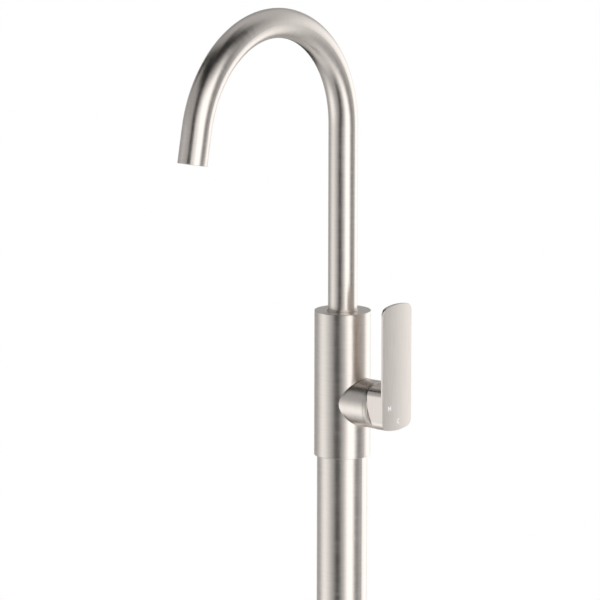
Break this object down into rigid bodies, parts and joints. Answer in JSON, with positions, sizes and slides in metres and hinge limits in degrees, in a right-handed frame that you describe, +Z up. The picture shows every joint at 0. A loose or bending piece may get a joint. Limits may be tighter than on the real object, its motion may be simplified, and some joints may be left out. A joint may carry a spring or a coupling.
{
  "type": "floor-mounted bath mixer",
  "caption": "Floor-standing single-lever bath mixer: gooseneck spout swivels on a sleeve body, a side lever tips to open and turns to mix, column on a floor flange.",
  "frame": {"origin": "on the floor, at the column's axis, in the plane of the floor plate's underside", "axes": "+Z up along the column, the spout reaches towards -Y at rest, the lever's boss points along +X"},
  "size_m": [0.1251, 0.2908, 1.1194],
  "materials": {
    "brushed_nickel": "fine brushed nickel plate",
    "brass": "turned",
    "stainless": "turned and milled",
    "hose_braid": "woven wire",
    "black_rubber": "moulded",
    "white_ceramic": "lapped",
    "grey_plastic": "moulded"
  },
  "bodies": {
    "mixer": {"floor_plate": "stainless", "column_screws": "stainless", "cover_flange": "brushed_nickel", "flange_seal": "black_rubber", "column_tube": "brushed_nickel", "hot_hose": "hose_braid", "cold_hose": "hose_braid", "hot_hose_fittings": "stainless", "cold_hose_fittings": "stainless", "mixer_body": "brushed_nickel", "body_lock_screws": "stainless", "column_seal": "black_rubber", "cartridge_base": "grey_plastic", "port_seals": "black_rubber", "fixed_disc": "white_ceramic", "cartridge_housing": "grey_plastic", "cartridge_nut": "brass", "cover_ring": "brushed_nickel", "spout_lock_screw": "stainless", "slip_ring": "brushed_nickel"},
    "rotor": {"cartridge_rotor": "grey_plastic", "rotor_seal": "black_rubber", "pivot_pin": "stainless"},
    "disc": {"moving_disc": "white_ceramic", "disc_carrier": "grey_plastic"},
    "lever": {"lever_stem": "brass", "lever": "brushed_nickel", "lever_grub_screw": "stainless"},
    "spout": {"spout_tube": "brushed_nickel", "spout_spigot": "brass", "spout_seals": "black_rubber", "aerator_holder": "brass", "aerator_insert": "grey_plastic", "aerator_washer": "black_rubber"}
  },
  "joints": [
    {"name": "spout_swivel", "type": "hinge", "parent": "mixer", "child": "spout", "pos_m": [0, 0, 0.82], "axis": [0, 0, 1], "continuous": true},
    {"name": "lever_turn", "type": "hinge", "parent": "mixer", "child": "rotor", "pos_m": [0.033, 0, 0.7341], "axis": [1, 0, 0], "range_deg": [0, 90]},
    {"name": "lever_lift", "type": "hinge", "parent": "rotor", "child": "lever", "pos_m": [0.033, 0, 0.7341], "axis": [0, 1, 0], "range_deg": [0, 20]},
    {"name": "disc_slide", "type": "slide", "parent": "rotor", "child": "disc", "axis": [0, 0, 1], "range_m": [0, 0.00315]}
  ],
  "couplings": [
    {"joint": "disc_slide", "follows": "lever_lift", "m_per_rad": 0.009}
  ]
}
